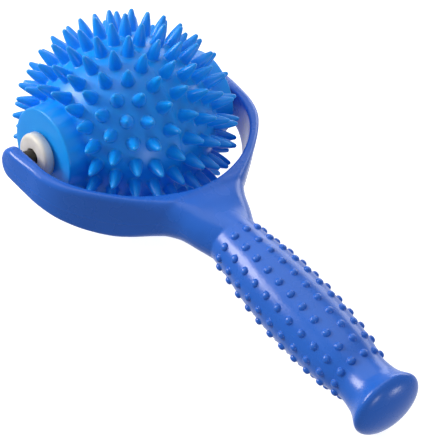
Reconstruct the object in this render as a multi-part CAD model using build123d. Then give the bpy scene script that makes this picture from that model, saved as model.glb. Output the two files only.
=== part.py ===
from build123d import *
import math
import os

# A spiky massage ball that rolls on a steel axle between the arms of a fork.
# Origin: the middle of the axle between the two arms. +X runs along the handle
# to its knob, +Y along the axle, and +Z out of the fork's plane. Millimetres.

# Ball
body_radius = 36.8
ball_wall = 2.8
ball_sides = 36
ball_bands = 12
hub_radius = 18.7
hub_half_length = 41.3
hub_rim_chamfer = 0.8
hub_root_round = 3.0
hub_root_steps = 2
hub_end_wall = 6.0
cavity_sides = 16
cavity_bands = 3

# Spikes
spike_height = 9.4
spike_base_radius = 2.35
spike_shoulder_share = 0.78
spike_shoulder_height_share = 0.5
spike_root_depth = 0.5
spike_sides = 5

# Rings of spikes on each half, counted from the mould line to the hub. The turns
# are the degrees to the first spike of a ring on the near and the far half.
ring_latitude_degrees = (6.2, 18.4, 30.4, 42.6, 54.5)
ring_spike_counts = (25, 24, 22, 20, 17)
near_turn_degrees = (8.2, 1.1, 1.9, 8.8, 17.6)
far_turn_degrees = (13.5, 6.5, 14.5, 4.0, 17.6)

# Bushes
bush_collar_radius = 6.3
bush_collar_length = 1.0
bush_flange_radius = 9.3
bush_flange_thickness = 4.3
bush_flange_round = 1.7
bush_round_steps = 2
bush_sides = 24
bush_spigot_radius = 5.2
bush_spigot_length = 8.0
bush_seat_clearance = 0.03

# Axle
axle_radius = 3.2
running_clearance = 0.08
socket_depth = 2.4
socket_clearance = 0.02

# Fork. The ball slides along its axle by the side play, and lies nearer the far arm.
side_play = 5.6
resting_gap = 1.31
spike_to_fork_gap = 4.87
arm_thickness = 5.4
arm_outer_round = 2.3
arm_straight_length = 10.0
arm_tip_reach = 8.6
arm_tip_half_height = 6.9
arm_drop = 2.4
arm_inner_round = 1.3
inner_round_steps = 2
fork_curve_power = 1.82
fork_curve_steps = 14
tip_steps = 5
arm_steps = 12
neck_steps = 8

# Neck and handle
neck_length = 24.2
handle_length = 99.8
handle_rise_height = 0.6
handle_sides = 24
waist_radius = 10.75
grip_start_radius = 11.7
grip_swell_radius = 13.3
grip_full_radius = 14.2
grip_radius = 14.45
grip_fall_radius = 13.95
grip_end_radius = 12.9
pinch_radius = 11.1
pinch_end_radius = 11.7
pinch_steps = 5
knob_radius = 15.1
knob_flat_radius = 12.2
knob_rim_length = 2.8
knob_rim_steps = 4

# Studs on the grip
stud_radius = 1.5
stud_top_radius = 0.85
stud_height = 1.2
stud_root_depth = 0.4
stud_sides = 5
stud_rows = 12
studs_per_row = 11
first_stud_from_waist = 5.8
last_stud_from_end = 19.8

overrun = 10.0

# Places that follow from the sizes above
ball_shift = side_play / 2 - resting_gap
ball_reach = body_radius + spike_height
bush_reach = bush_collar_length + bush_flange_thickness
arm_inner = hub_half_length + bush_reach + side_play / 2
arm_outer = arm_inner + arm_thickness
fork_reach = ball_reach + spike_to_fork_gap
tip_start_x = arm_tip_half_height - arm_tip_reach
waist_x = fork_reach + neck_length
end_x = waist_x + handle_length
knob_x = end_x - knob_rim_length
stud_rows_length = handle_length - first_stud_from_waist - last_stud_from_end
stud_pitch = stud_rows_length / (studs_per_row - 1)

# Sections of the fork: place from the axle to the bottom of its curve, outer half
# width, half height and corner next to the tip's, and how much of the arms' drop.
fork_shares = (
    (-0.170, 0.992, 1.00, 1.0, 1.00),
    (-0.033, 1.000, 1.00, 1.0, 1.00),
    (0.060, 0.996, 1.05, 1.0, 0.85),
    (0.184, 0.986, 1.12, 1.0, 0.70),
    (0.339, 0.970, 1.155, 1.0, 0.60),
    (0.495, 0.912, 1.28, 1.0, 0.65),
    (0.632, 0.815, 1.42, 1.0, 0.78),
    (0.750, 0.707, 1.50, 1.0, 0.83),
    (0.848, 0.606, 1.52, 1.1, 0.78),
    (0.926, 0.523, 1.48, 1.4, 0.50),
    (1.000, 0.445, 1.41, 2.0, 0.13),
)

# Sections of the neck: place along it, then half width, half height and corner
# next to the waist's radius, and how much of the handle's rise it has.
neck_shares = (
    (0.09, 2.050, 0.890, 0.53, 0.25),
    (0.175, 1.850, 0.870, 0.60, 0.67),
    (0.30, 1.675, 0.865, 0.69, 1.25),
    (0.42, 1.545, 0.865, 0.77, 1.60),
    (0.57, 1.430, 0.872, 0.84, 1.60),
    (0.71, 1.310, 0.900, 0.89, 1.40),
    (0.855, 1.150, 0.950, 0.94, 1.20),
    (1.00, 1.000, 1.000, 1.00, 1.00),
)

# Where along the handle the grip has each of its radii.
start_share = 0.101
swell_share = 0.222
full_share = 0.343
widest_share = 0.474
fall_share = 0.604
grip_end_share = 0.725
pinch_share = 0.826
pinch_end_share = 0.896

# Corners count as lying in one plane within this share of the arms' thickness.
flat_share = 1e-9
# The least half height of the fork's opening next to the round of its edges.
least_height_share = 1.06


def skin(rings):
    """A closed flat-faced solid through rings that have the same number of points."""
    faces = [Face(Wire.make_polygon(ring, close=True)) for ring in (rings[0], rings[-1]) if len(ring) > 1]
    for lower, upper in zip(rings, rings[1:]):
        count = max(len(lower), len(upper))
        for number in range(count):
            after = (number + 1) % count
            if len(upper) == 1:
                faces += flat_faces([lower[number], lower[after], upper[0]])
            else:
                faces += flat_faces([lower[number], lower[after], upper[after], upper[number]])
    return Solid(Shell(faces))


def flat_faces(corners):
    """One flat face through the corners, or two triangles where they don't lie flat."""
    first, second, third = (Vector(*corner) for corner in corners[:3])
    normal = (second - first).cross(third - first).normalized()
    out_of_flat = abs((Vector(*corners[-1]) - first).dot(normal))
    if out_of_flat < arm_thickness * flat_share:
        return [Face(Wire.make_polygon(corners, close=True))]
    halves = (corners[:3], [corners[0], corners[2], corners[3]])
    return [Face(Wire.make_polygon(half, close=True)) for half in halves]


def ring(radius, height, sides):
    """Points evenly round the Z axis, whose flats lie at the radius."""
    reach = radius / math.cos(math.pi / sides)
    points = []
    for number in range(sides):
        angle = 2 * math.pi * (number + 0.5) / sides
        points.append((reach * math.cos(angle), reach * math.sin(angle), height))
    return points


def eased(places, values, x):
    """A smooth curve through the values, read at x."""
    number = 0
    while number < len(places) - 2 and x > places[number + 1]:
        number += 1
    slopes = []
    for at in (number, number + 1):
        before = max(at - 1, 0)
        after = min(at + 1, len(places) - 1)
        slopes.append((values[after] - values[before]) / (places[after] - places[before]))
    step = places[number + 1] - places[number]
    share = (x - places[number]) / step
    start = (1 + 2 * share) * (1 - share) ** 2 * values[number]
    end = share**2 * (3 - 2 * share) * values[number + 1]
    lean = share * (1 - share) ** 2 * slopes[0] - share**2 * (1 - share) * slopes[1]
    return start + end + step * lean


def fork_sizes():
    """Place, half width, half height, corner and middle of each chosen section."""
    sizes = []
    for along, width, height, corner, drop in fork_shares:
        sizes.append(
            (
                fork_reach * along,
                arm_outer * width,
                arm_tip_half_height * height,
                arm_outer_round * corner,
                -arm_drop * drop,
            )
        )
    for along, width, height, corner, rise in neck_shares:
        sizes.append(
            (
                fork_reach + neck_length * along,
                waist_radius * width,
                waist_radius * height,
                waist_radius * corner,
                handle_rise_height * rise,
            )
        )
    return sizes


def fork_size_at(x):
    """Half width, half height, corner and middle of the fork's section at x."""
    places, *columns = zip(*fork_sizes())
    width, height, corner, middle = (eased(places, values, x) for values in columns)
    if x < tip_start_x:
        back = min((tip_start_x - x) / arm_tip_half_height, 1)
        height = arm_tip_half_height * math.sqrt(1 - back**2)
        corner = min(corner, height)
    return width, height, corner, middle


def fork_ring(x):
    """The fork's outline square to the handle: a rectangle with rounded corners."""
    width, height, corner, middle = fork_size_at(x)
    points = []
    for number in range(handle_sides):
        angle = 2 * math.pi * (number + 0.5) / handle_sides
        reach = corner / math.cos(math.pi / handle_sides)
        across = math.copysign(width - corner, math.cos(angle)) + reach * math.cos(angle)
        up = math.copysign(height - corner, math.sin(angle)) + reach * math.sin(angle)
        points.append((x, across, middle + up))
    return points


def fork_places():
    """Where along the handle the fork and neck have their sections."""
    places = []
    for step in range(1, tip_steps + 1):
        angle = math.pi / 2 * step / tip_steps
        places.append(tip_start_x - arm_tip_half_height * math.cos(angle))
    for step in range(1, arm_steps + 1):
        share = math.sin(math.pi / 2 * step / arm_steps)
        places.append(tip_start_x + (fork_reach - tip_start_x) * share)
    for step in range(1, neck_steps + 1):
        places.append(fork_reach + neck_length * step / neck_steps)
    return places


def grip_radius_at(x):
    """The handle's radius between its waist and its knob."""
    profile = (
        (0, waist_radius),
        (start_share, grip_start_radius),
        (swell_share, grip_swell_radius),
        (full_share, grip_full_radius),
        (widest_share, grip_radius),
        (fall_share, grip_fall_radius),
        (grip_end_share, grip_end_radius),
        (pinch_share, pinch_radius),
        (pinch_end_share, pinch_end_radius),
    )
    places = [waist_x + handle_length * share for share, _ in profile] + [knob_x]
    radii = [radius for _, radius in profile] + [knob_radius]
    return eased(places, radii, x)


def handle_ring(x, radius):
    """A ring of the handle about its own axis."""
    return [
        (x, across, handle_rise_height + up) for across, up, _ in ring(radius, 0, handle_sides)
    ]


def grip_rings():
    """Rings from the first stud to the end of the knob. Each stud lies between two rings."""
    first = waist_x + first_stud_from_waist - stud_pitch / 2
    places = [first + stud_pitch * number for number in range(1, studs_per_row + 1)]
    last = places[-1]
    for step in range(1, pinch_steps + 1):
        places.append(last + (knob_x - last) * step / pinch_steps)
    rings = [handle_ring(x, grip_radius_at(x)) for x in places]
    for step in range(1, knob_rim_steps + 1):
        angle = math.pi / 2 * step / knob_rim_steps
        x = knob_x + knob_rim_length * math.sin(angle)
        radius = knob_flat_radius + (knob_radius - knob_flat_radius) * math.cos(angle)
        rings.append(handle_ring(x, radius))
    return rings


def fork_curve(offset):
    """The fork's inner wall in plan, from the far tip round to the near tip."""
    width = arm_inner + offset
    length = fork_reach - arm_straight_length + offset
    places = [-arm_tip_reach - overrun] + fork_places()
    far_side = [(x, width) for x in places if x < arm_straight_length]
    points = []
    for step in range(2 * fork_curve_steps + 1):
        angle = math.pi / 2 * (1 - step / fork_curve_steps)
        x = arm_straight_length + length * abs(math.cos(angle)) ** (2 / fork_curve_power)
        y = width * math.copysign(abs(math.sin(angle)) ** (2 / fork_curve_power), angle)
        points.append((x, y))
    near_side = [(x, -y) for x, y in reversed(far_side)]
    return far_side + points + near_side


def fork_space():
    """The open space between the arms. It flares, which rounds the arms' inner edges."""
    flare = []
    for step in range(inner_round_steps + 1):
        angle = math.pi / 2 * step / inner_round_steps
        offset = arm_inner_round * (1 - math.cos(angle))
        flare.append((offset, arm_inner_round * (1 - math.sin(angle))))
    outside = waist_radius + overrun
    rings = []
    for side in (-1, 1):
        half = []
        for offset, depth in flare:
            points = []
            for x, y in fork_curve(offset):
                _, height, _, middle = fork_size_at(x)
                height = max(height, arm_inner_round * least_height_share)
                points.append((x, y, middle + side * (height - depth)))
            half.append(points)
        cap = [(x, y, side * outside) for x, y in fork_curve(arm_inner_round)]
        half.append(cap)
        rings += half if side == 1 else half[::-1]
    return skin(rings)


def grip_studs():
    """Rows of low studs, each in the middle of a flat of the grip."""
    stud = skin(
        [
            ring(stud_radius, -stud_root_depth, stud_sides),
            ring(stud_top_radius, stud_height, stud_sides),
        ]
    )
    studs = []
    for number in range(studs_per_row):
        x = waist_x + first_stud_from_waist + number * stud_pitch
        ahead = x + stud_pitch / 2
        behind = x - stud_pitch / 2
        slope = (grip_radius_at(ahead) - grip_radius_at(behind)) / stud_pitch
        middle_radius = (grip_radius_at(ahead) + grip_radius_at(behind)) / 2
        seat = Plane(origin=(x, 0, middle_radius), x_dir=(0, 1, 0), z_dir=(-slope, 0, 1))
        for row in range(stud_rows):
            studs.append(Rot(X=360 * row / stud_rows) * (seat * stud))
    return [Pos(0, 0, handle_rise_height) * stud for stud in studs]


def make_fork_handle():
    """The one moulding of fork, neck, grip and knob."""
    body = skin([fork_ring(x) for x in fork_places()] + grip_rings())
    body = body.fuse(*grip_studs()) - fork_space()
    socket = Cylinder(
        axle_radius + socket_clearance, 2 * (arm_inner + socket_depth), rotation=(90, 0, 0)
    )
    return body - socket


def make_axle_rod():
    """The steel axle, seated in both sockets."""
    length = 2 * (arm_inner + socket_depth - socket_clearance)
    return Cylinder(axle_radius, length, rotation=(90, 0, 0))


def hub_rings():
    """Rings from the ball's side up to the end of its hub, along Z."""
    root_reach = hub_radius + hub_root_round
    root_height = math.sqrt((body_radius + hub_root_round) ** 2 - root_reach**2)
    start = math.atan2(root_height, root_reach)
    rings = []
    for step in range(hub_root_steps + 1):
        angle = start * (1 - step / hub_root_steps)
        reach = root_reach - hub_root_round * math.cos(angle)
        height = root_height - hub_root_round * math.sin(angle)
        rings.append((reach, height))
    rings.append((hub_radius, hub_half_length - hub_rim_chamfer))
    rings.append((hub_radius - hub_rim_chamfer, hub_half_length))
    return rings, start


def ball_outside():
    """The round body with a hub on each side, along Z."""
    hub, start = hub_rings()
    profile = [(radius, -height) for radius, height in reversed(hub)]
    for step in range(1, ball_bands):
        angle = start * (2 * step / ball_bands - 1)
        profile.append((body_radius * math.cos(angle), body_radius * math.sin(angle)))
    profile += hub
    return skin([ring(radius, height, ball_sides) for radius, height in profile])


def ball_cavity():
    """The hollow inside the ball, many-sided since nothing shows it."""
    inner_radius = body_radius - ball_wall
    hub_inner_radius = hub_radius - ball_wall
    start = math.acos(hub_inner_radius / inner_radius)
    hub_end = hub_half_length - hub_end_wall
    profile = [(hub_inner_radius, -hub_end)]
    for step in range(cavity_bands + 1):
        angle = start * (2 * step / cavity_bands - 1)
        profile.append((inner_radius * math.cos(angle), inner_radius * math.sin(angle)))
    profile.append((hub_inner_radius, hub_end))
    return skin([ring(radius, height, cavity_sides) for radius, height in profile])


def ball_spikes():
    """Rings of spikes round the ball's axle, along Z."""
    shoulder_radius = spike_base_radius * spike_shoulder_share
    shoulder_height = spike_height * spike_shoulder_height_share
    root = ring(spike_base_radius, -spike_root_depth, spike_sides)
    shoulder = ring(shoulder_radius, shoulder_height, spike_sides)
    spike = skin([root, shoulder, [(0, 0, spike_height)]])
    spikes = []
    for side, turns in ((1, near_turn_degrees), (-1, far_turn_degrees)):
        for latitude, count, turn in zip(ring_latitude_degrees, ring_spike_counts, turns):
            raised = Rot(Y=90 - side * latitude) * (Pos(0, 0, body_radius) * spike)
            for number in range(count):
                spikes.append(Rot(Z=turn + 360 * number / count) * raised)
    return spikes


def make_ball_shell():
    """The hollow ball with its spikes and hubs, shifted along the axle."""
    hole = Cylinder(bush_spigot_radius + bush_seat_clearance, 2 * (hub_half_length + overrun))
    ball = ball_outside().fuse(*ball_spikes()) - ball_cavity() - hole
    return Pos(0, ball_shift, 0) * (Rot(X=90) * ball)


def bush_outside():
    """The outside of a bush along Z, with its collar on the hub's face at zero."""
    profile = [
        (bush_spigot_radius, -bush_spigot_length),
        (bush_spigot_radius, 0),
        (bush_collar_radius, 0),
        (bush_collar_radius, bush_collar_length),
        (bush_flange_radius, bush_collar_length),
    ]
    for step in range(bush_round_steps + 1):
        angle = math.pi / 2 * step / bush_round_steps
        radius = bush_flange_radius - bush_flange_round * (1 - math.cos(angle))
        height = bush_reach - bush_flange_round * (1 - math.sin(angle))
        profile.append((radius, height))
    return skin([ring(radius, height, bush_sides) for radius, height in profile])


def make_bush(side):
    """A flanged bush for one hub, with the axle's bore. Its flange faces outwards."""
    bore = Cylinder(axle_radius + running_clearance, 2 * (bush_spigot_length + overrun))
    bush = bush_outside() - bore
    return Pos(0, ball_shift + side * hub_half_length, 0) * (Rot(X=-90 * side) * bush)


os.makedirs("parts", exist_ok=True)
export_step(make_fork_handle(), "parts/fork_handle.step")
export_step(make_axle_rod(), "parts/axle_rod.step")
export_step(make_ball_shell(), "parts/ball_shell.step")
export_step(make_bush(-1), "parts/near_bush.step")
export_step(make_bush(1), "parts/far_bush.step")
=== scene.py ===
import math
import random

import bmesh
import bpy
from mathutils import Matrix, Vector


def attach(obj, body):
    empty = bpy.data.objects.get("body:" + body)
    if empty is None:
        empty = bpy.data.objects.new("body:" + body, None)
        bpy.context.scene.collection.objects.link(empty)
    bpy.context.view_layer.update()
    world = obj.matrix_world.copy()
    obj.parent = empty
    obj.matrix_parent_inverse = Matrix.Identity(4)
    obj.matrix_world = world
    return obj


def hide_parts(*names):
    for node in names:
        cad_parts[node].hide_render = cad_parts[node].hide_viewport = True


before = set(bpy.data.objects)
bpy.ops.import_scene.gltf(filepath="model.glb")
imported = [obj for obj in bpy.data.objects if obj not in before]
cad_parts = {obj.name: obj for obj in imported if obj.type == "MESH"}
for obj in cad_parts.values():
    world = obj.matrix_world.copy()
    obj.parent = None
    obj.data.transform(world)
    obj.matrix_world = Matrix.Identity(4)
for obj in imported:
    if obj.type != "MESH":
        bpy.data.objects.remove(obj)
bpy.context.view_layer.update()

# A spiky massage ball between the arms of a fork, on a studded grip.
# Sizes are in millimetres and turned into metres where a mesh is made.
METRES = 0.001

# Ball
ball_shift = 1.49
body_radius = 36.8
hub_radius = 18.7
hub_half_length = 41.3
hub_bore_radius = 5.3
hub_rim_round = 0.8
hub_root_round = 3.0
seam_height = 0.14
seam_half_width = 0.28
ball_sides = 160
ball_arc_steps = 36
hub_root_steps = 8
hub_rim_steps = 5
hub_face_steps = 4

# Spikes: an ogive with a small flared root and a rounded tip. A ring has its latitude,
# its count, and the turn of its first spike on the near and the far half, in degrees.
spike_height = 9.4
spike_base_radius = 2.65
spike_ogive_height = 11.0
spike_ogive_power = 1.8
spike_sink = 0.03
spike_root_round = 0.55
spike_root_arc_degrees = (80, 10)
spike_root_steps = 5
spike_tangent_height = 8.78
spike_side_steps = 8
spike_cap_shares = (0.3, 0.6, 0.85)
spike_slope_step = 0.01
spike_sides = 18
spike_lean_degrees = 0.9
spike_seed = 11
spike_rings = (
    (6.2, 25, 8.2, 13.5),
    (18.4, 24, 1.1, 6.5),
    (30.4, 22, 1.9, 14.5),
    (42.6, 20, 8.8, 4.0),
    (54.5, 17, 17.6, 17.6),
)
ball_reach = body_radius + spike_height

# Bushes
bush_collar_radius = 6.3
bush_collar_length = 1.0
bush_flange_radius = 9.3
bush_flange_thickness = 4.3
bush_outer_round = 1.7
bush_outer_steps = 8
bush_bore_radius = 3.28
bush_bore_round = 0.7
bush_bore_steps = 5
bush_spigot_radius = 5.2
bush_spigot_length = 8.0
bush_face_gap = 0.02
bush_sides = 72

# Fork
arm_inner = 49.4
arm_thickness = 5.4
arm_outer_round = 2.3
arm_outer = arm_inner + arm_thickness
fork_reach = 51.07
arm_straight_length = 10.0
arm_tip_half_height = 6.9
tip_start_x = -1.7
arm_drop = 2.4
arm_inner_round = 1.3
fork_curve_power = 1.82
corner_thickness_share = 0.97
tip_steps = 14
straight_steps = 8
curve_steps = 72
land_steps = 8
corner_steps = 8
wall_steps = 10
inner_round_steps = 5
inner_wall_steps = 8
neck_steps = 44
parting_share = -0.32
parting_height = 0.17
parting_half_share = 0.03

# Sections of the fork: place as a share of its reach, half width, half height and corner
# as shares of the arm's, and the middle's depth as a share of the arm's drop.
fork_shares = (
    (-0.170, 0.992, 1.00, 1.0, 1.00),
    (-0.033, 1.000, 1.00, 1.0, 1.00),
    (0.060, 0.996, 1.05, 1.0, 0.85),
    (0.184, 0.986, 1.12, 1.0, 0.70),
    (0.339, 0.970, 1.155, 1.0, 0.60),
    (0.495, 0.912, 1.28, 1.0, 0.65),
    (0.632, 0.815, 1.42, 1.0, 0.78),
    (0.750, 0.707, 1.50, 1.0, 0.83),
    (0.848, 0.606, 1.52, 1.1, 0.78),
    (0.926, 0.523, 1.48, 1.4, 0.50),
    (1.000, 0.445, 1.41, 2.0, 0.13),
)

# Sections of the neck: place as a share of its length, half width, half height and corner
# as shares of the waist's radius, and the middle's height as a share of the handle's rise.
neck_shares = (
    (0.09, 2.050, 0.890, 0.53, 0.25),
    (0.175, 1.850, 0.870, 0.60, 0.67),
    (0.30, 1.675, 0.865, 0.69, 1.25),
    (0.42, 1.545, 0.865, 0.77, 1.60),
    (0.57, 1.430, 0.872, 0.84, 1.60),
    (0.71, 1.310, 0.900, 0.89, 1.40),
    (0.855, 1.150, 0.950, 0.94, 1.20),
    (1.00, 1.000, 1.000, 1.00, 1.00),
)

# Handle: the grip's profile has shares of the handle's length and radii
neck_length = 24.2
handle_length = 99.8
handle_rise = 0.6
waist_radius = 10.75
knob_radius = 15.1
knob_rim_length = 2.5
knob_dome_length = 5.5
knob_power = 2.05
waist_x = fork_reach + neck_length
knob_x = waist_x + handle_length - knob_rim_length
grip_profile = (
    (0.0, 10.75),
    (0.101, 11.7),
    (0.222, 13.3),
    (0.343, 14.2),
    (0.474, 14.45),
    (0.604, 13.95),
    (0.725, 12.9),
    (0.826, 11.1),
    (0.896, 11.75),
    (0.930, 12.85),
    (0.955, 14.2),
)
grip_steps = 120
knob_steps = 28

# Studs: the profile has radii and heights
stud_rows = 12
studs_per_row = 11
stud_pitch = 7.42
first_stud_from_waist = 5.8
stud_sides = 20
stud_slope_reach = 0.1
stud_profile = (
    (1.90, -0.03),
    (1.74, 0.02),
    (1.64, 0.12),
    (1.57, 0.30),
    (1.47, 0.56),
    (1.28, 0.84),
    (0.98, 1.06),
    (0.61, 1.19),
    (0.25, 1.245),
    (0, 1.25),
)

# Seams of the moulding's mesh
weld_distance = 0.01
sliver_length = 0.005

# Moulded plastic: unevenness of its tone and gloss, and its grain
cloud_detail = 3.0
cloud_range = (0.35, 0.65)
smears_per_cloud = 4
smear_detail = 5.0
smear_range = (0.3, 0.7)
grain_detail = 4.0
grain_strength = 0.25

# Floor, in metres
floor_flat_radius = 3.0
floor_bend = 2.0
floor_bend_steps = 16
floor_wall = 8.0
floor_sides = 96
floor_tilt_cosine = 0.979

# Room: the strength of its light overhead, at eye level and in the pale part low behind
# the object, where that part lies, and how it fades
world_above = 0.45
world_level = 0.32
world_behind = 0.70
behind_direction = (-0.50, 0.53, -0.68)
behind_range = (0.45, 0.95)
world_colour = (0.95, 0.96, 1.0, 1)

# Soft boxes: azimuth and elevation in degrees, distance, width and height in metres,
# power in watts, colour
light_target = (0.06, 0, 0)
soft_boxes = (
    ("left_box", -46, 17, 1.1, 0.50, 0.42, 9.4, (1.0, 0.92, 0.86)),
    ("back_box", -152, 15, 1.3, 1.4, 0.56, 6.6, (0.97, 0.98, 1.0)),
    ("top_box", -82, 62, 1.5, 1.8, 1.5, 8.0, (1.0, 1.0, 1.0)),
    ("right_box", 80, 2, 1.2, 0.20, 0.20, 1.5, (1.0, 1.0, 1.0)),
    ("far_box", 118, -8, 1.2, 0.20, 0.20, 1.3, (1.0, 1.0, 1.0)),
)

# Camera: its directions, and how far the frame's origin lies along them
camera_right = Vector((0.59069, 0.78722, 0.17709))
camera_down = Vector((0.63274, -0.31572, -0.70708))
camera_ahead = Vector((-0.50071, 0.52972, -0.68460))
origin_right = -38.114
origin_down = -39.642
origin_ahead = 1220.442
focal_pixels = 3000
photo_pixels = 441
sensor_width = 36
clip_metres = (0.05, 50)


# Meshes

def quads(first, second, closed=True):
    """Faces between two rows of point numbers."""
    count = len(first)
    faces = []
    for number in range(count if closed else count - 1):
        after = (number + 1) % count
        faces.append((first[number], first[after], second[after], second[number]))
    return faces


def shade_smooth(mesh):
    """Makes every face of a mesh smooth."""
    for polygon in mesh.polygons:
        polygon.use_smooth = True


def add_piece(name, points, faces, material, body, nodes):
    """A smooth mesh that rides on a body and stands for its CAD nodes."""
    mesh = bpy.data.meshes.new(name)
    mesh.from_pydata([tuple(value * METRES for value in point) for point in points], [], faces)
    mesh.validate()
    shade_smooth(mesh)
    mesh.materials.append(material)
    piece = bpy.data.objects.new(name, mesh)
    bpy.context.scene.collection.objects.link(piece)
    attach(piece, body)
    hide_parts(*nodes)
    return piece


def lathe(profile, sides, place):
    """Points and faces of a profile of (radius, height) turned about an axis."""
    points = []
    rows = []
    for radius, height in profile:
        row = []
        for number in range(1 if radius == 0 else sides):
            angle = 2 * math.pi * number / sides
            row.append(len(points))
            points.append(place(radius * math.cos(angle), radius * math.sin(angle), height))
        rows.append(row)
    faces = []
    for lower, upper in zip(rows, rows[1:]):
        if len(upper) == 1:
            faces += [(lower[n], lower[(n + 1) % sides], upper[0]) for n in range(sides)]
        elif len(lower) == 1:
            faces += [(upper[(n + 1) % sides], upper[n], lower[0]) for n in range(sides)]
        else:
            faces += quads(lower, upper)
    return points, faces


def merge(parts):
    """One list of points and faces from several."""
    points = []
    faces = []
    for some_points, some_faces in parts:
        start = len(points)
        points += some_points
        faces += [tuple(start + number for number in face) for face in some_faces]
    return points, faces


def arc(radius, start, end, steps, middle=(0, 0)):
    """Points of an arc about a middle, angles in degrees, both ends included."""
    points = []
    for step in range(steps + 1):
        angle = math.radians(start + (end - start) * step / steps)
        points.append((middle[0] + radius * math.cos(angle), middle[1] + radius * math.sin(angle)))
    return points


# Ball

def ball_profile():
    """Half the ball's outline, from the middle plane up to the hub's bore."""
    root_reach = hub_radius + hub_root_round
    root_height = math.sqrt((body_radius + hub_root_round) ** 2 - root_reach**2)
    start = math.degrees(math.atan2(root_height, root_reach))
    seam = math.degrees(seam_half_width / body_radius)
    face_radius = hub_radius - hub_rim_round
    profile = [(body_radius + seam_height, 0.0)]
    profile += arc(body_radius, seam, start, ball_arc_steps)
    root = arc(hub_root_round, start, 0, hub_root_steps)
    profile += [(root_reach - x, root_height - y) for x, y in root[1:]]
    rim_middle = (face_radius, hub_half_length - hub_rim_round)
    profile += arc(hub_rim_round, 0, 90, hub_rim_steps, rim_middle)
    for step in range(hub_face_steps - 1, -1, -1):
        radius = hub_bore_radius + (face_radius - hub_bore_radius) * step / hub_face_steps
        profile.append((radius, hub_half_length))
    profile.append((hub_bore_radius, hub_half_length - bush_spigot_length))
    return profile


def ball_place(x, y, height):
    """Places a point of the ball's lathe about the axle, with its height towards +Y."""
    return (x, ball_shift + height, -y)


def ogive(height):
    """A spike's radius at a height, without its root and its tip."""
    return spike_base_radius * (1 - (height / spike_ogive_height) ** spike_ogive_power)


def spike_profile():
    """The spike's outline from its flared root to its rounded tip: radius and height."""
    root_radius = spike_base_radius + spike_root_round
    profile = [(root_radius, -spike_sink)]
    for x, y in arc(spike_root_round, *spike_root_arc_degrees, spike_root_steps):
        profile.append((root_radius - x, spike_root_round - y))
    for step in range(1, spike_side_steps + 1):
        share = step / spike_side_steps
        height = spike_root_round + (spike_tangent_height - spike_root_round) * share
        profile.append((ogive(height), height))
    radius, height = profile[-1]
    lean = math.atan((ogive(height - spike_slope_step) - ogive(height)) / spike_slope_step)
    cap = radius / math.cos(lean)
    middle = height - cap * math.sin(lean)
    for share in spike_cap_shares:
        angle = lean + (math.pi / 2 - lean) * share
        profile.append((cap * math.cos(angle), middle + cap * math.sin(angle)))
    profile.append((0, middle + cap))
    return profile


def spike_place(direction, lean):
    """Places a spike's points so that its root lies on the round body."""
    turn = direction.to_track_quat("Z", "X").to_matrix()
    tilt = Matrix.Rotation(lean[0], 3, "X") @ Matrix.Rotation(lean[1], 3, "Y")

    def place(x, y, height):
        root = math.sqrt(body_radius**2 - x * x - y * y)
        local = Vector((x, y, 0)) + tilt @ Vector((0, 0, max(height, 0)))
        local.z += root + min(height, 0)
        point = turn @ local
        return (point.x, point.y + ball_shift, point.z)
    return place


def spike_directions():
    """The direction of every spike from the ball's middle."""
    directions = []
    for latitude, count, near_first, far_first in spike_rings:
        level = math.radians(latitude)
        for side, first in ((-1, near_first), (1, far_first)):
            for number in range(count):
                turn = math.radians(first + 360 * number / count)
                directions.append(Vector((
                    math.cos(level) * math.cos(turn),
                    side * math.sin(level),
                    math.cos(level) * math.sin(turn),
                )))
    return directions


def ball_spikes():
    """Every spike, each with a slight lean of its own."""
    chance = random.Random(spike_seed)
    limit = spike_lean_degrees
    profile = spike_profile()
    spikes = []
    for direction in spike_directions():
        lean = [math.radians(chance.uniform(-limit, limit)) for _ in range(2)]
        spikes.append(lathe(profile, spike_sides, spike_place(direction, lean)))
    return spikes


def make_ball(material):
    """The round body with its hubs, mould line and spikes."""
    half = ball_profile()
    profile = [(radius, -height) for radius, height in reversed(half)] + half[1:]
    body = lathe(profile, ball_sides, ball_place)
    points, faces = merge([body] + ball_spikes())
    add_piece("spiky_ball", points, faces, material, "ball", ["ball_shell"])


# Bushes

def bush_profile():
    """A bush's outline from its bore's inner end round the flange and back."""
    top = bush_collar_length + bush_flange_thickness
    bore_middle = (bush_bore_radius + bush_bore_round, top - bush_bore_round)
    outer_middle = (bush_flange_radius - bush_outer_round, top - bush_outer_round)
    profile = [(bush_bore_radius, -bush_spigot_length)]
    profile += arc(bush_bore_round, 180, 90, bush_bore_steps, bore_middle)
    profile += arc(bush_outer_round, 90, 0, bush_outer_steps, outer_middle)
    profile += [
        (bush_flange_radius, bush_collar_length),
        (bush_collar_radius, bush_collar_length),
        (bush_collar_radius, bush_face_gap),
        (bush_spigot_radius, bush_face_gap),
        (bush_spigot_radius, -bush_spigot_length),
        (bush_bore_radius, -bush_spigot_length),
    ]
    return profile


def make_bush(name, side, material):
    """One flanged bush, its flange facing outwards."""
    def place(x, y, height):
        return (x, ball_shift + side * (hub_half_length + height), -side * y)
    points, faces = lathe(bush_profile(), bush_sides, place)
    add_piece(name + "_ring", points, faces, material, "ball", [name])


# Fork and handle

def eased(places, values, x):
    """A smooth curve through the values, read at x."""
    number = 0
    while number < len(places) - 2 and x > places[number + 1]:
        number += 1
    slopes = []
    for at in (number, number + 1):
        before = max(at - 1, 0)
        after = min(at + 1, len(places) - 1)
        slopes.append((values[after] - values[before]) / (places[after] - places[before]))
    step = places[number + 1] - places[number]
    share = (x - places[number]) / step
    start = (1 + 2 * share) * (1 - share) ** 2 * values[number]
    end = share**2 * (3 - 2 * share) * values[number + 1]
    lean = share * (1 - share) ** 2 * slopes[0] - share**2 * (1 - share) * slopes[1]
    return start + end + step * lean


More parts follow.
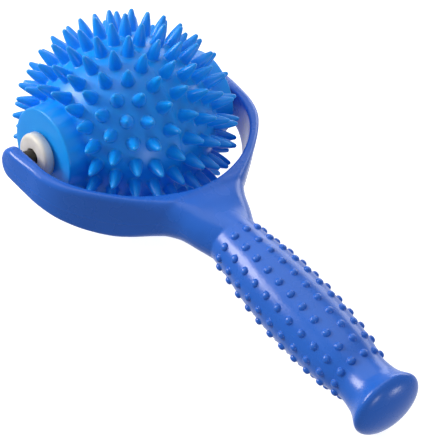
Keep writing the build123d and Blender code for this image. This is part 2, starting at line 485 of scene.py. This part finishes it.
def fork_columns():
    """Place, half width, half height, corner and middle of the chosen sections."""
    sizes = []
    for along, width, height, corner, drop in fork_shares:
        sizes.append((
            fork_reach * along, arm_outer * width, arm_tip_half_height * height,
            arm_outer_round * corner, -arm_drop * drop,
        ))
    for along, width, height, corner, rise in neck_shares:
        sizes.append((
            fork_reach + neck_length * along, waist_radius * width, waist_radius * height,
            waist_radius * corner, handle_rise * rise,
        ))
    return list(zip(*sizes))


COLUMNS = fork_columns()


def fork_size_at(x):
    """Half width, half height, corner and middle of the fork's section at x."""
    places, *columns = COLUMNS
    return [eased(places, values, x) for values in columns]


def inner_point(angle, offset):
    """A point of the fork's inner wall in plan, at an angle from its bottom."""
    reach = fork_reach - arm_straight_length + offset
    power = 2 / fork_curve_power
    x = arm_straight_length + reach * max(math.cos(angle), 0) ** power
    y = (arm_inner + offset) * max(math.sin(angle), 0) ** power
    return x, y


def outer_marks():
    """Marks round the outside from the top's inner edge to the bottom's: share of the
    land, angle of the corner, share of the wall, and 1 on the mould line."""
    marks = [(n / land_steps, 0, 1, 0) for n in range(land_steps + 1)]
    marks += [(1, 90 * n / corner_steps, 1, 0) for n in range(1, corner_steps + 1)]
    shares = [1 - 2 * n / wall_steps for n in range(1, wall_steps)]
    shares = [share for share in shares if abs(share - parting_share) > 2 * parting_half_share]
    shares += [parting_share + parting_half_share * side for side in (-1, 0, 1)]
    for share in sorted(shares, reverse=True):
        marks.append((1, 90, share, 1 if share == parting_share else 0))
    marks += [(1, 90 + 90 * n / corner_steps, -1, 0) for n in range(corner_steps + 1)]
    marks += [(1 - n / land_steps, 180, -1, 0) for n in range(1, land_steps + 1)]
    return marks


def inner_marks():
    """Marks round the inside from the bottom's inner edge to the top's: angle of the
    rounding and share of the wall."""
    marks = [(90 - 90 * n / inner_round_steps, -1) for n in range(1, inner_round_steps + 1)]
    marks += [(0, -1 + 2 * n / inner_wall_steps) for n in range(1, inner_wall_steps)]
    marks += [(90 * n / inner_round_steps, 1) for n in range(inner_round_steps)]
    return marks


OUTER = outer_marks()
INNER = inner_marks()


def outer_row(x, start_y, roundness):
    """The outside of the section at x, from start_y on top round to start_y below.
    A roundness of 1 spreads the corners' angles evenly."""
    width, height, corner, middle = fork_size_at(x)
    if start_y > 0:
        corner = min(corner, corner_thickness_share * (width - start_y))
    points = []
    for number, (land, turn, wall, ridge) in enumerate(OUTER):
        even = 180 * number / (len(OUTER) - 1)
        angle = math.radians(turn + (even - turn) * roundness)
        y = start_y + (width - corner - start_y) * land + corner * math.sin(angle)
        z = (height - corner) * wall + corner * math.cos(angle)
        points.append((x, y + ridge * parting_height, middle + z))
    return points


def inner_row(place):
    """The rounded inner side of a section. The place function gives x and y at an
    offset from the wall."""
    points = []
    for turn, wall in INNER:
        turn = math.radians(turn)
        x, y = place(arm_inner_round * (1 - math.cos(turn)))
        _, height, _, middle = fork_size_at(x)
        level = (height - arm_inner_round) * wall
        level += math.copysign(arm_inner_round * math.sin(turn), wall)
        points.append((x, y, middle + level))
    return points


def arm_row(angle):
    """A closed section of the arm at an angle of the inner curve."""
    x, y = inner_point(angle, arm_inner_round)
    return outer_row(x, y, 0) + inner_row(lambda offset: inner_point(angle, offset))


def straight_row(x):
    """A closed section of the arm's straight part at x."""
    outside = outer_row(x, arm_inner + arm_inner_round, 0)
    return outside + inner_row(lambda offset: (x, arm_inner + offset))


def inset(radius, depth):
    """How far a rounded edge falls back from its face at a depth from the outline."""
    if depth >= radius:
        return 0.0
    return radius - math.sqrt(max(radius**2 - (radius - depth) ** 2, 0))


def tip_row(turn):
    """A closed section of the arm's rounded tip. The turn goes from 0 to a right angle."""
    x = tip_start_x - arm_tip_half_height * math.sin(turn)
    start = straight_row(tip_start_x)
    middle = fork_size_at(tip_start_x)[3]
    full = max(z for _, _, z in start) - middle
    width = fork_size_at(x)[0]
    thickness = width - arm_inner
    rounds = arm_outer_round + arm_inner_round
    share = min(1, corner_thickness_share * thickness / rounds)
    marks = OUTER + [(0, 0, 0, 0)] * len(INNER)
    row = []
    for (_, _, z), (land, _, _, ridge) in zip(start, marks):
        level = (z - middle) / full * arm_tip_half_height * math.cos(turn)
        depth = arm_tip_half_height - math.hypot(x - tip_start_x, level)
        outer = width - inset(share * arm_outer_round, depth)
        inner = arm_inner + inset(share * arm_inner_round, depth)
        y = inner + (outer - inner) * land + ridge * parting_height * math.cos(turn)
        row.append((x, y, middle + level))
    return row


def arm_rows():
    """Closed sections of an arm, from its tip to the bottom of the inner curve."""
    rows = [tip_row(math.pi / 2 * (1 - step / tip_steps)) for step in range(tip_steps)]
    length = arm_straight_length - tip_start_x
    rows += [straight_row(tip_start_x + length * n / straight_steps) for n in range(straight_steps)]
    rows += [arm_row(math.pi / 2 * (1 - step / curve_steps)) for step in range(curve_steps + 1)]
    return rows


def neck_rows():
    """Open half sections from the bottom of the fork to the waist."""
    start = fork_reach + arm_inner_round
    rows = []
    for step in range(1, neck_steps + 1):
        share = step / neck_steps
        x = start + (waist_x - start) * share
        rows.append(outer_row(x, 0, share * share * (3 - 2 * share)))
    return rows


def grip_radius_at(x):
    """The handle's radius between its waist and its knob."""
    places = [waist_x + handle_length * share for share, _ in grip_profile]
    radii = [radius for _, radius in grip_profile]
    places += [knob_x, 2 * knob_x - places[-1]]
    radii += [knob_radius, radii[-1]]
    return eased(places, radii, x)


def handle_row(x, radius):
    """An open half ring of the handle."""
    row = []
    for number in range(len(OUTER)):
        angle = math.pi * number / (len(OUTER) - 1)
        row.append((x, radius * math.sin(angle), handle_rise + radius * math.cos(angle)))
    return row


def grip_rows():
    """Half rings from past the waist to the middle of the knob's domed end."""
    rows = []
    for step in range(1, grip_steps + 1):
        x = waist_x + (knob_x - waist_x) * step / grip_steps
        rows.append(handle_row(x, grip_radius_at(x)))
    power = 2 / knob_power
    for step in range(1, knob_steps + 1):
        angle = math.pi / 2 * step / knob_steps
        x = knob_x + knob_dome_length * math.sin(angle) ** power
        share = max(math.cos(angle), 0) ** power if step < knob_steps else 0
        rows.append(handle_row(x, knob_radius * share))
    return rows


def fork_half():
    """Points and faces of the half of the moulding on the far side. The arm's sections
    are closed. Those of the neck and the grip are open, and have only the outer marks."""
    points = []
    faces = []
    before = None
    for row in arm_rows() + neck_rows() + grip_rows():
        numbers = list(range(len(points), len(points) + len(row)))
        points += row
        if before is not None:
            faces += quads(before[: len(row)], numbers, closed=len(row) > len(OUTER))
        before = numbers
    return points, faces


def stud_place(x, angle):
    """Places a stud's points on the grip's surface."""
    reach = stud_slope_reach

    def place(along, across, height):
        at = x + along
        radius = grip_radius_at(at)
        slope = (grip_radius_at(at + reach) - grip_radius_at(at - reach)) / (2 * reach)
        size = math.hypot(1, slope)
        at -= height * slope / size
        radius += height / size
        turn = angle + across / grip_radius_at(x)
        return (at, radius * math.cos(turn), handle_rise + radius * math.sin(turn))
    return place


def grip_studs():
    """Every stud on the grip."""
    studs = []
    for number in range(studs_per_row):
        x = waist_x + first_stud_from_waist + number * stud_pitch
        for row in range(stud_rows):
            angle = 2 * math.pi * row / stud_rows + math.pi / 2
            studs.append(lathe(stud_profile, stud_sides, stud_place(x, angle)))
    return studs


def weld(piece):
    """Joins points that lie together, and turns all faces outwards."""
    mesh = bmesh.new()
    mesh.from_mesh(piece.data)
    bmesh.ops.remove_doubles(mesh, verts=mesh.verts, dist=weld_distance * METRES)
    bmesh.ops.dissolve_degenerate(mesh, edges=mesh.edges, dist=sliver_length * METRES)
    bmesh.ops.recalc_face_normals(mesh, faces=mesh.faces)
    mesh.to_mesh(piece.data)
    mesh.free()


def make_fork(material):
    """The one moulding of fork, neck, grip and knob."""
    points, faces = fork_half()
    mirrored = [(x, -y, z) for x, y, z in points]
    turned = [tuple(reversed(face)) for face in faces]
    points, faces = merge([(points, faces), (mirrored, turned)] + grip_studs())
    weld(add_piece(
        "fork_and_grip", points, faces, material, "handle", ["fork_handle"]
    ))


# Materials

def new_material(name):
    """A material with its node tree and its shader."""
    material = bpy.data.materials.new(name)
    material.use_nodes = True
    tree = material.node_tree
    return material, tree, tree.nodes["Principled BSDF"]


def set_inputs(node, values):
    """Sets a node's inputs by name."""
    for name, value in values.items():
        node.inputs[name].default_value = value


def noise(tree, place, scale, detail):
    """The value of a noise texture in the object's own space."""
    texture = tree.nodes.new("ShaderNodeTexNoise")
    set_inputs(texture, {"Scale": scale, "Detail": detail})
    tree.links.new(place.outputs["Object"], texture.inputs["Vector"])
    return texture.outputs["Fac"]


def spread(tree, source, given, wanted):
    """Maps a value from a given range to a wanted one."""
    node = tree.nodes.new("ShaderNodeMapRange")
    set_inputs(node, {
        "From Min": given[0], "From Max": given[1],
        "To Min": wanted[0], "To Max": wanted[1],
    })
    tree.links.new(source, node.inputs["Value"])
    return node.outputs["Result"]


def moulded(name, tones, roughness, grain_scale, grain_depth, cloud_scale, look):
    """A moulded plastic: two close tones, uneven gloss and a fine skin. The grain's
    depth is in metres, and the look holds the shader's other inputs."""
    material, tree, shader = new_material(name)
    place = tree.nodes.new("ShaderNodeTexCoord")
    mix = tree.nodes.new("ShaderNodeMix")
    mix.data_type = "RGBA"
    set_inputs(mix, {"A": (*tones[0], 1), "B": (*tones[1], 1)})
    clouds = noise(tree, place, cloud_scale, cloud_detail)
    tree.links.new(spread(tree, clouds, cloud_range, (0.0, 1.0)), mix.inputs["Factor"])
    tree.links.new(mix.outputs["Result"], shader.inputs["Base Color"])
    smears = noise(tree, place, cloud_scale * smears_per_cloud, smear_detail)
    tree.links.new(spread(tree, smears, smear_range, roughness), shader.inputs["Roughness"])
    grain = noise(tree, place, grain_scale, grain_detail)
    bump = tree.nodes.new("ShaderNodeBump")
    set_inputs(bump, {"Strength": grain_strength, "Distance": grain_depth})
    tree.links.new(grain, bump.inputs["Height"])
    tree.links.new(bump.outputs["Normal"], shader.inputs["Normal"])
    set_inputs(shader, look)
    return material


def ball_material():
    """Soft azure vinyl with a pale sheen."""
    return moulded(
        "azure_soft_vinyl",
        tones=((0.001, 0.305, 0.90), (0.001, 0.330, 0.94)),
        roughness=(0.28, 0.38),
        grain_scale=900,
        grain_depth=0.00006,
        cloud_scale=35,
        look={
            "Specular IOR Level": 0.48,
            "Subsurface Weight": 0.15,
            "Subsurface Radius": (0.3, 0.7, 1.0),
            "Subsurface Scale": 0.003,
            "Sheen Weight": 0.32,
            "Sheen Roughness": 0.35,
            "Sheen Tint": (0.35, 0.75, 1.0, 1),
        },
    )


def handle_material():
    """Hard royal blue plastic with a satin gloss."""
    return moulded(
        "royal_blue_plastic",
        tones=((0.015, 0.134, 0.63), (0.018, 0.147, 0.67)),
        roughness=(0.23, 0.31),
        grain_scale=1400,
        grain_depth=0.00003,
        cloud_scale=22,
        look={"Specular IOR Level": 0.5},
    )


def bush_material():
    """Cream plastic."""
    return moulded(
        "cream_plastic",
        tones=((0.80, 0.79, 0.73), (0.70, 0.69, 0.63)),
        roughness=(0.35, 0.5),
        grain_scale=1200,
        grain_depth=0.00004,
        cloud_scale=160,
        look={},
    )


def steel_material():
    """Dark oiled steel, made like the plastics with a metal's shine."""
    return moulded(
        "dark_oiled_steel",
        tones=((0.035, 0.035, 0.03), (0.055, 0.05, 0.045)),
        roughness=(0.3, 0.5),
        grain_scale=2200,
        grain_depth=0.00003,
        cloud_scale=300,
        look={"Metallic": 0.6},
    )


def floor_material():
    """A white ground that needs no light."""
    material, _, shader = new_material("pale_floor")
    set_inputs(shader, {
        "Base Color": (0.45, 0.45, 0.46, 1),
        "Roughness": 0.9,
        "Emission Color": (1, 1, 1, 1),
        "Emission Strength": 0.9,
    })
    return material


def dress_axle(material):
    """Gives the CAD's own axle rod its material."""
    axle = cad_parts["axle_rod"]
    axle.data.materials.clear()
    axle.data.materials.append(material)


# Floor, light and camera

def make_floor():
    """A wide bowl with a flat bottom that the spikes and the knob rest on. Only the
    camera sees it, so its white doesn't light the object from below."""
    fall = ball_reach - knob_radius + handle_rise * floor_tilt_cosine
    lean = math.asin(fall / knob_x)
    up = Vector((-math.sin(lean), 0, math.cos(lean)))
    along = Vector((math.cos(lean), 0, math.sin(lean)))
    across = Vector((0, 1, 0))
    middle = up * (-ball_reach * METRES) + across * (ball_shift * METRES)

    def place(x, y, height):
        return middle + along * x + across * y + up * height

    bend = arc(floor_bend, -90, 0, floor_bend_steps, (floor_flat_radius, floor_bend))
    profile = [(0, 0)] + bend + [(floor_flat_radius + floor_bend, floor_wall)]
    points, faces = lathe(profile, floor_sides, place)
    mesh = bpy.data.meshes.new("floor")
    mesh.from_pydata([tuple(point) for point in points], [], faces)
    mesh.materials.append(floor_material())
    shade_smooth(mesh)
    floor = bpy.data.objects.new("floor", mesh)
    floor.visible_diffuse = False
    floor.visible_glossy = False
    floor.visible_transmission = False
    floor.visible_shadow = False
    bpy.context.scene.collection.objects.link(floor)


def soft_light(name, azimuth, elevation, distance, width, height, power, colour):
    """A soft box that looks at the object from a direction round it."""
    lamp = bpy.data.lights.new(name, "AREA")
    lamp.shape = "RECTANGLE"
    lamp.size = width
    lamp.size_y = height
    lamp.energy = power
    lamp.color = colour
    turn = math.radians(azimuth)
    rise = math.radians(elevation)
    back = Vector((
        math.sin(turn) * math.cos(rise),
        -math.cos(turn) * math.cos(rise),
        math.sin(rise),
    ))
    item = bpy.data.objects.new(name, lamp)
    item.location = Vector(light_target) + back * distance
    item.rotation_mode = "QUATERNION"
    item.rotation_quaternion = (-back).to_track_quat("-Z", "Y")
    bpy.context.scene.collection.objects.link(item)


def make_world():
    """A soft room that grows paler with height, and is pale low behind the object."""
    world = bpy.data.worlds.new("studio")
    world.use_nodes = True
    tree = world.node_tree
    place = tree.nodes.new("ShaderNodeTexCoord")
    split = tree.nodes.new("ShaderNodeSeparateXYZ")
    tree.links.new(place.outputs["Generated"], split.inputs["Vector"])
    height = spread(tree, split.outputs["Z"], (0.0, 1.0), (world_level, world_above))
    facing = tree.nodes.new("ShaderNodeVectorMath")
    facing.operation = "DOT_PRODUCT"
    facing.inputs[1].default_value = behind_direction
    tree.links.new(place.outputs["Generated"], facing.inputs[0])
    behind = spread(tree, facing.outputs["Value"], behind_range, (0.0, world_behind))
    total = tree.nodes.new("ShaderNodeMath")
    total.operation = "ADD"
    tree.links.new(height, total.inputs[0])
    tree.links.new(behind, total.inputs[1])
    background = tree.nodes["Background"]
    tree.links.new(total.outputs["Value"], background.inputs["Strength"])
    background.inputs["Color"].default_value = world_colour
    bpy.context.scene.world = world


def make_camera():
    """The camera at the photograph's place, worked out from the fork, hub and studs."""
    origin = camera_right * origin_right + camera_down * origin_down + camera_ahead * origin_ahead
    lens = bpy.data.cameras.new("photo_camera")
    lens.sensor_width = sensor_width
    lens.lens = focal_pixels / photo_pixels * sensor_width
    lens.clip_start, lens.clip_end = clip_metres
    camera = bpy.data.objects.new("photo_camera", lens)
    turn = Matrix((camera_right, -camera_down, -camera_ahead)).transposed().to_4x4()
    camera.matrix_world = Matrix.Translation(-origin * METRES) @ turn
    bpy.context.scene.collection.objects.link(camera)
    bpy.context.scene.camera = camera


make_camera()
make_fork(handle_material())
make_ball(ball_material())
cream = bush_material()
make_bush("near_bush", -1, cream)
make_bush("far_bush", 1, cream)
dress_axle(steel_material())
make_floor()
for box in soft_boxes:
    soft_light(*box)
make_world()
bpy.context.scene.view_settings.view_transform = "Standard"
